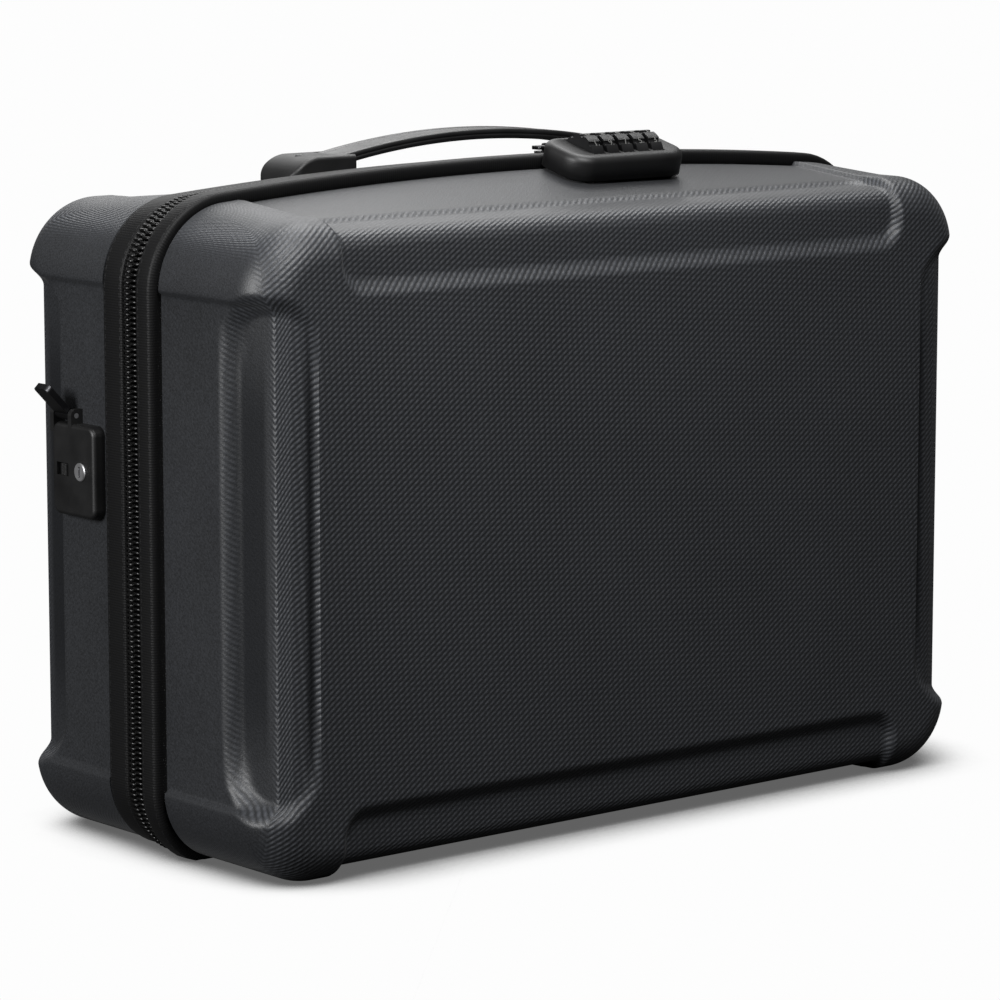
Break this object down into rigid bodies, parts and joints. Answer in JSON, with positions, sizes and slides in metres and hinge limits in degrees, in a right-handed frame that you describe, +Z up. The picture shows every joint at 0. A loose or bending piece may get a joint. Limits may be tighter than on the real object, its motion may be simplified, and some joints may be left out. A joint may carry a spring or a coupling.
{
  "type": "console travel bag",
  "caption": "Hard-shell travel bag for a game console: two moulded halves zipped together and hinged along the bottom, with a top handle, a dial lock and a keyed side lock.",
  "frame": {"origin": "on the floor, under the middle of the part's box", "axes": "+X along the width to the right, -Y to the front, +Z up"},
  "size_m": [0.4895, 0.206, 0.3477],
  "materials": {
    "shell": "twill laminate over moulded foam, matt",
    "zip_tape": "bound zip tape, satin",
    "zip_coil": "moulded nylon coil",
    "hinge_cloth": "plain woven",
    "handle": "moulded, satin",
    "fittings": "moulded, fine grain",
    "dial": "moulded, satin",
    "bright_metal": "plated",
    "dark_metal": "black plated",
    "foam": "cut foam"
  },
  "bodies": {
    "rear_half": {"rear_shell": "shell", "rear_zip_tape": "zip_tape", "rear_zip_coil": "zip_coil", "hinge_cloth": "hinge_cloth", "handle_strap": "handle", "handle_rivets": "bright_metal", "handle_cap_left": "fittings", "handle_cap_right": "fittings", "handle_plate_left": "fittings", "handle_plate_right": "fittings", "side_lock_body": "fittings", "side_lock_plate": "fittings", "side_lock_screws": "bright_metal", "lever_pin": "bright_metal", "console_tray": "foam"},
    "front_half": {"front_shell": "shell", "front_zip_tape": "zip_tape", "front_zip_coil": "zip_coil", "lock_body": "fittings", "lock_plate": "fittings", "lock_screws": "bright_metal", "dial_spindle": "bright_metal", "accessory_tray": "foam"},
    "left_slider": {"zip_slider_left": "dark_metal"},
    "right_slider": {"zip_slider_right": "dark_metal"},
    "left_pull": {"zip_pull_left": "dark_metal"},
    "right_pull": {"zip_pull_right": "dark_metal"},
    "key_plug": {"key_cylinder": "bright_metal"},
    "slide_button": {"release_slide": "fittings"},
    "pull_lever": {"side_lock_lever": "dark_metal"},
    "number_dial_1": {"dial_1": "dial"},
    "number_dial_2": {"dial_2": "dial"},
    "number_dial_3": {"dial_3": "dial"},
    "number_dial_4": {"dial_4": "dial"},
    "number_dial_5": {"dial_5": "dial"}
  },
  "joints": [
    {"name": "case_opening", "type": "hinge", "parent": "rear_half", "child": "front_half", "pos_m": [0.00749, 0, 0.0003], "axis": [1, 0, 0], "range_deg": [0, 170], "deforming": ["hinge_cloth"]},
    {"name": "left_slider_run", "type": "slide", "parent": "rear_half", "child": "left_slider", "axis": [1, 0, 0], "range_m": [-0.06, 0]},
    {"name": "left_pull_swing", "type": "hinge", "parent": "left_slider", "child": "left_pull", "pos_m": [0.03849, 0, 0.33849], "axis": [0, 1, 0], "range_deg": [0, 100]},
    {"name": "right_slider_run", "type": "slide", "parent": "rear_half", "child": "right_slider", "axis": [1, 0, 0], "range_m": [0, 0.03]},
    {"name": "right_pull_swing", "type": "hinge", "parent": "right_slider", "child": "right_pull", "pos_m": [0.06249, 0, 0.33804], "axis": [0, -1, 0], "range_deg": [0, 100]},
    {"name": "dial_1_turn", "type": "hinge", "parent": "front_half", "child": "number_dial_1", "pos_m": [0.03009, -0.03537, 0.3353], "axis": [1, 0, 0], "continuous": true},
    {"name": "dial_2_turn", "type": "hinge", "parent": "front_half", "child": "number_dial_2", "pos_m": [0.04029, -0.03537, 0.3353], "axis": [1, 0, 0], "continuous": true},
    {"name": "dial_3_turn", "type": "hinge", "parent": "front_half", "child": "number_dial_3", "pos_m": [0.05049, -0.03537, 0.3353], "axis": [1, 0, 0], "continuous": true},
    {"name": "dial_4_turn", "type": "hinge", "parent": "front_half", "child": "number_dial_4", "pos_m": [0.06069, -0.03537, 0.3353], "axis": [1, 0, 0], "continuous": true},
    {"name": "dial_5_turn", "type": "hinge", "parent": "front_half", "child": "number_dial_5", "pos_m": [0.07089, -0.03537, 0.3353], "axis": [1, 0, 0], "continuous": true},
    {"name": "key_turn", "type": "hinge", "parent": "rear_half", "child": "key_plug", "pos_m": [-0.23201, 0.04002, 0.189], "axis": [1, 0, 0], "range_deg": [0, 90]},
    {"name": "slide_travel", "type": "slide", "parent": "rear_half", "child": "slide_button", "axis": [0, 1, 0], "range_m": [0, 0.004], "stiffness_N_per_m": 250},
    {"name": "lever_swing", "type": "hinge", "parent": "rear_half", "child": "pull_lever", "pos_m": [-0.22881, 0.05658, 0.216], "axis": [0, 1, 0], "range_deg": [-46, 40]}
  ]
}
